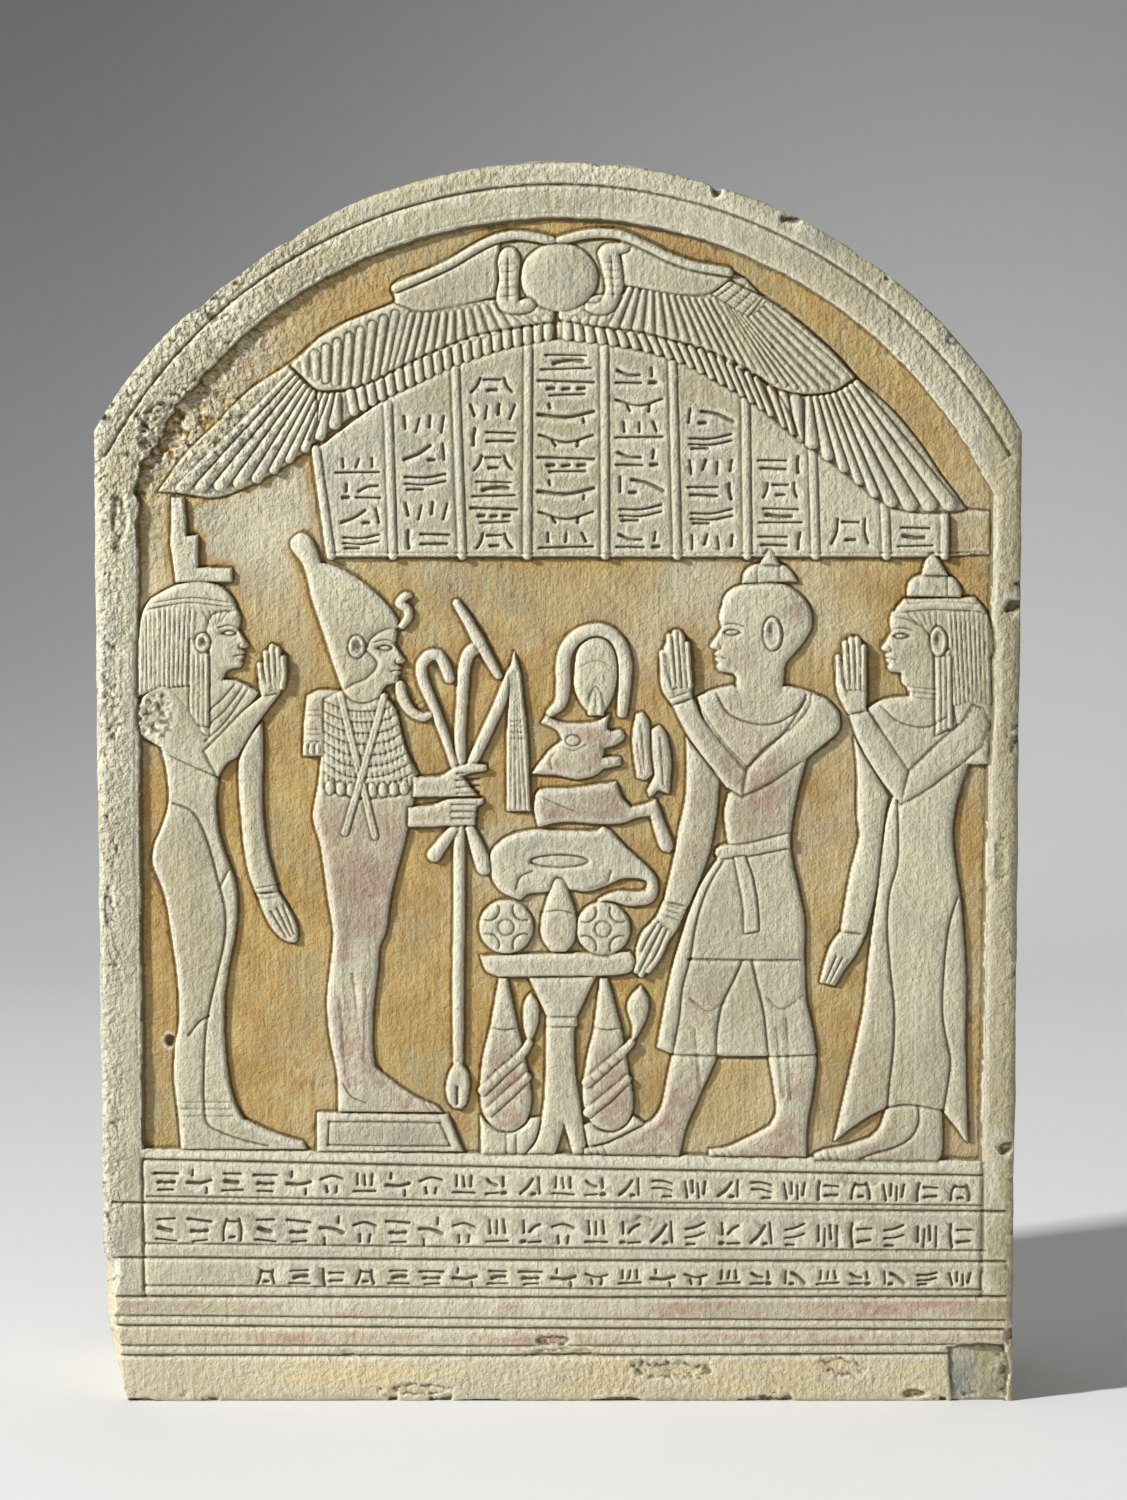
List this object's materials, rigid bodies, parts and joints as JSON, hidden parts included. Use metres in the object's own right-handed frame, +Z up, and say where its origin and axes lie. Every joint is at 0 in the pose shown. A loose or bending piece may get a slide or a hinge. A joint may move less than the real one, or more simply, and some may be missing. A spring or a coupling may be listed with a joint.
{
  "type": "carved stone stele",
  "caption": "Round-topped limestone slab carved in low relief with a winged disc, columns of writing, standing figures and an offering table, free-standing on its flat foot.",
  "frame": {"origin": "middle of the underside of the slab, where it stands", "axes": "+Z up, the carved front faces -Y, +X to the right of someone looking at the front"},
  "size_m": [0.31, 0.075, 0.42],
  "materials": {
    "limestone": "matt carved limestone, cream and grey, with worn ochre paint in the sunk field and traces of red"
  },
  "bodies": {
    "root": {"stele": "limestone"}
  },
  "joints": []
}
